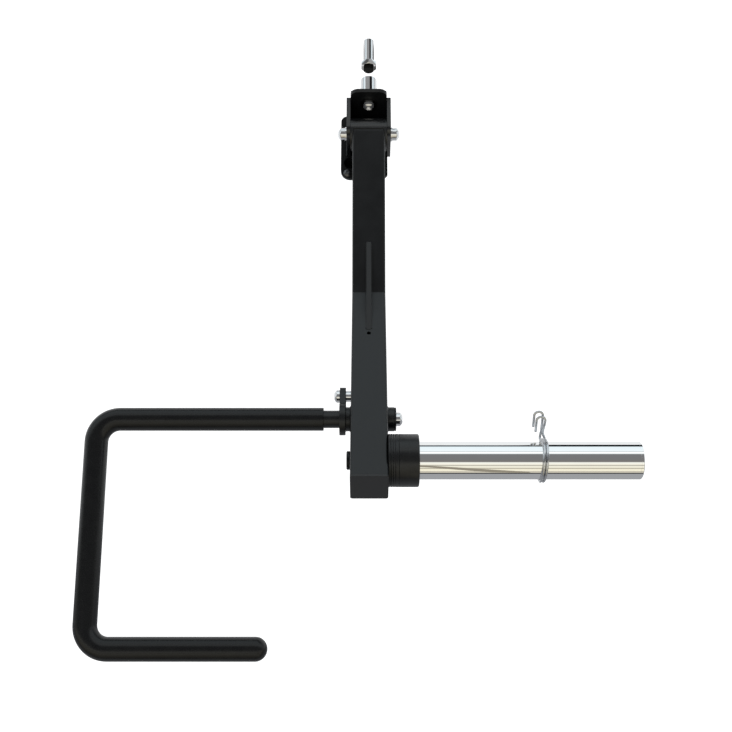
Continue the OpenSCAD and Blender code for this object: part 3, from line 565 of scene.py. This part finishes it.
def bumper():
    """Rubber bumper, with a small radius against the rings, a larger one outside and a mould line.

    The lengths in here are in mm.
    """
    back_x, front_x = 39.0, 65.5
    inner_r, outer_r = 23.0, 35.0
    back_round, front_round = 0.5, 2.2
    line_x, line_deep = 52.2, 0.15
    lip_x, lip_r, recess_r, recess_deep = 64.9, 25.06, 27.4, 0.8
    profile = [(back_x, inner_r)]

    def corner(x, radius, first, last):
        r = outer_r - radius
        for a in spread(first, last, 8):
            profile.append((x + radius * math.cos(math.radians(a)), r + radius * math.sin(math.radians(a))))

    corner(back_x + back_round, back_round, 180, 90)
    line = ((-0.3, 0), (-0.1, line_deep), (0.1, line_deep), (0.3, 0))
    profile.extend([(line_x + ahead, outer_r - deep) for ahead, deep in line])
    corner(front_x - front_round, front_round, 90, 0)
    profile.extend([(front_x, recess_r), (lip_x, recess_r - recess_deep), (lip_x, lip_r), (64.0, inner_r)])
    obj = piece("bumper_ring", lathe(profile, SLEEVE_AT), RUBBER, "arm", ["stop_bumper"])
    obj.data.set_sharp_from_angle(angle=math.radians(35))


spring_collar()
welds()
spare_thread()
bumper()


# Studio
def glowing(name, bm, shade):
    """A card of the studio that only shows in the shiny pieces."""
    mesh = bpy.data.meshes.new(name)
    bm.to_mesh(mesh)
    bm.free()
    made, tree = new_material(name)
    tree.output("Material", tree.lit("Emission", grey(*shade)))
    mesh.materials.append(made)
    obj = bpy.data.objects.new(name, mesh)
    for ray in ("camera", "diffuse", "transmission", "volume_scatter", "shadow"):
        setattr(obj, "visible_" + ray, False)
    scene.collection.objects.link(obj)


def card(name, x, y, z, shade):
    """A flat card between two corners."""
    bm = bmesh.new()
    ends = [(x[0], y[0], z[0]), (x[1], y[0], z[0]), (x[1], y[1], z[1]), (x[0], y[1], z[1])]
    bm.faces.new([bm.verts.new(end) for end in ends])
    glowing(name, bm, (shade,))


def ribbon(name, away, edges, shade):
    """A card bent round the sleeve at that distance from its axis.

    The sleeve shows it at each x between two turns from straight up, in degrees, as seen from the camera's place.
    """
    bends = 8
    sight = 1.348
    bm = bmesh.new()
    rows = []
    for x, low, high in edges:
        across = x + (x - CAMERA_AT.x) * away / sight
        row = []
        for turn in spread(low, high, bends):
            y, z = away * math.sin(math.radians(turn)), away * math.cos(math.radians(turn))
            row.append(bm.verts.new((across, SLEEVE_AT.y + y, SLEEVE_AT.z + z)))
        rows.append(row)
    for one, two in zip(rows, rows[1:]):
        for k in range(bends):
            bm.faces.new((one[k], one[k + 1], two[k + 1], two[k]))
    glowing(name, bm, shade)


def add_floor():
    """A plain pale floor. The shiny pieces see it in the shades that a studio's surroundings have.

    These are a dark patch behind the rack pin and one below the arm's bend, grey in front of the arm, and far off in
    front a dark strip with warm grey beyond it.
    """
    bm = bmesh.new()
    bmesh.ops.create_grid(bm, x_segments=1, y_segments=1, size=FLOOR_HALF)
    mesh = bpy.data.meshes.new("floor")
    bm.to_mesh(mesh)
    bm.free()
    floor = bpy.data.objects.new("floor", mesh)
    floor.location = (0, 0, FLOOR_Z)
    scene.collection.objects.link(floor)

    made, tree = new_material("pale_floor")
    path = tree.add("ShaderNodeLightPath").outputs
    place = tree.add("ShaderNodeNewGeometry").outputs["Position"]
    axes = tree.add("ShaderNodeSeparateXYZ", {"Vector": place}).outputs
    side = tree.math("ABSOLUTE", axes["X"])

    def patch(edge, rise, fall):
        return tree.math("MULTIPLY", tree.span(side, 1, 0, *edge), tree.between(axes["Y"], rise, fall))

    behind = patch((0.10, 0.12), (0.17, 0.22), (0.50, 0.56))
    under = patch((0.075, 0.085), (-0.43, -0.40), (-0.26, -0.23))
    black = grey(0.03, 0.03, 0.03)
    ahead = tree.span(axes["Y"], 1, 0, -0.62, -0.50)
    distant = tree.between(axes["Y"], (-7.2, -6.6), (-3.6, -3.1))
    farthest = tree.span(axes["Y"], 1, 0, -7.2, -6.6)
    mirrored = tree.mix(ahead, grey(0.88, 0.90, 0.91), grey(0.35, 0.36, 0.375))
    mirrored = tree.mix(farthest, mirrored, grey(0.27, 0.25, 0.21))
    mirrored = tree.mix(distant, mirrored, black)
    mirrored = tree.mix(tree.math("MAXIMUM", behind, under), mirrored, black)
    diffuse = tree.add("ShaderNodeBsdfDiffuse", {"Color": grey(0.6)}).outputs[0]
    shown = tree.add("ShaderNodeAddShader")
    tree.put(shown.inputs[0], diffuse)
    tree.put(shown.inputs[1], tree.lit("Emission", grey(1), 0.82))
    seen = tree.math("MAXIMUM", path["Is Camera Ray"], path["Is Transmission Ray"])
    plain = tree.mix_shaders(seen, diffuse, shown.outputs[0])
    tree.output("Material", tree.mix_shaders(path["Is Glossy Ray"], plain, tree.lit("Emission", mirrored)))
    mesh.materials.append(made)


# The studio as the shiny pieces see it: its shade at each turn round the X axis, in degrees from straight up and
# positive towards the rack
STUDIO_SHADES = [
    (-180, (0.35, 0.36, 0.37)), (-92, (0.04, 0.04, 0.035)), (-89, (0.26, 0.235, 0.19)), (-82, (0.29, 0.26, 0.21)),
    (-79.5, (0.50, 0.46, 0.36)), (-62, (0.52, 0.48, 0.38)), (-59.5, (0.88, 0.85, 0.70)), (-49, (0.97, 0.93, 0.78)),
    (-46.5, (0.46, 0.44, 0.37)), (-43.5, (0.46, 0.44, 0.37)), (-41, (0.92, 0.88, 0.74)), (-28, (1.0, 1.0, 0.92)),
    (-22.5, (0.20, 0.19, 0.18)), (-10, (0.19, 0.19, 0.19)), (23, (0.19, 0.195, 0.20)), (28, (1.0, 1.05, 1.05)),
    (38.2, (1.2, 1.25, 1.25)), (39.2, (0.42, 0.45, 0.45)), (41.2, (0.42, 0.45, 0.45)), (42.4, (0.92, 1.0, 1.03)),
    (77, (0.86, 0.97, 1.02)), (80, (0.10, 0.12, 0.13)), (92, (0.05, 0.06, 0.07)), (180, (0.80, 0.84, 0.87)),
]


def add_world():
    """A white backdrop, plain soft light, and the studio's bands of light in the shiny pieces."""
    world = bpy.data.worlds.new("studio")
    scene.world = world
    world.use_nodes = True
    tree = Tree(world.node_tree)
    path = tree.add("ShaderNodeLightPath").outputs
    way = tree.add("ShaderNodeTexCoord").outputs["Generated"]
    axes = tree.add("ShaderNodeSeparateXYZ", {"Vector": way}).outputs
    turn = tree.math("ARCTAN2", axes["Y"], axes["Z"])
    ramp = tree.add("ShaderNodeValToRGB", {"Fac": tree.span(turn, 0, 1, -math.pi, math.pi)})
    ramp.color_ramp.interpolation = "LINEAR"
    elements = ramp.color_ramp.elements
    while len(elements) < len(STUDIO_SHADES):
        elements.new(0.5)
    for element, (degrees, colour) in zip(elements, STUDIO_SHADES):
        element.position = (degrees + 180) / 360
        element.color = grey(*colour)
    ambient = tree.lit("Background", grey(0.95, 0.98, 1.0), 0.45)
    studio = tree.lit("Background", ramp.outputs["Color"])
    seen = tree.math("MAXIMUM", path["Is Camera Ray"], path["Is Transmission Ray"])
    unseen = tree.mix_shaders(path["Is Glossy Ray"], ambient, studio)
    tree.output("World", tree.mix_shaders(seen, unseen, tree.lit("Background", grey(1))))


def add_lamps():
    """Two large soft lamps, which the shiny pieces don't show."""
    aim = Vector((0, -0.4, 0))
    for name, place, size, power in (
        ("key", (-1.2, -1.6, 2.4), 1.6, 26),
        ("fill", (1.8, 0.4, 2.0), 1.8, 14),
    ):
        data = bpy.data.lights.new(name, "AREA")
        data.size = size
        data.energy = power
        lamp = bpy.data.objects.new(name, data)
        lamp.location = place
        lamp.rotation_euler = (aim - Vector(place)).to_track_quat("-Z", "Y").to_euler()
        lamp.visible_glossy = False
        scene.collection.objects.link(lamp)


def add_cards():
    """What the shiny pieces show of the studio close by.

    Over each pin a grey card lies beside a dark one. Along the sleeve run a cream ribbon, a duller one below it, a
    slanted streak and a thin dark line. The hexagon's left, right and front flats have a card each.
    """
    for pin, gain, z, y in (("rack", 0.030, 0.042, (0.010, 0.072)), ("spare", 0.026, 0.085, (0.038, 0.104))):
        card(pin + "_grey_card", (-1.27 * gain, 0.29 * gain), y, (z, z), 0.33)
        card(pin + "_dark_card", (0.29 * gain, 1.43 * gain), y, (z, z), 0.012)
    inner_x, outer_x = 0.064, 0.371
    ribbon("cream_ribbon", 0.80, [(inner_x, -81, -67), (outer_x, -81, -67)], (0.98, 0.93, 0.74))
    ribbon("lower_ribbon", 0.80, [(inner_x, -93.5, -82), (outer_x, -93.5, -82)], (0.62, 0.58, 0.48))
    streak = [
        (0.060, -53, -42), (0.078, -57, -46), (0.105, -68, -54), (0.132, -79, -62), (0.159, -90, -71),
        (0.186, -93, -79), (0.208, -93, -88),
    ]
    ribbon("streak_ribbon", 0.72, streak, (0.30, 0.27, 0.21))
    ribbon("line_ribbon", 0.80, [(0.170, 84, 87), (0.240, 78, 95), (outer_x, 78, 95)], (0.01, 0.012, 0.014))
    hex_y, hex_z = (0.048, 0.063), (0.085, 0.085)
    card("hex_left_card", (-0.064, -0.036), hex_y, hex_z, 0.10)
    card("hex_right_card", (0.036, 0.064), hex_y, hex_z, 0.36)
    card("hex_front_card", (-0.016, 0.016), (0.009, 0.009), (0.026, 0.056), 0.85)


add_floor()
add_world()
add_lamps()
add_cards()

scene.view_settings.view_transform = "Standard"
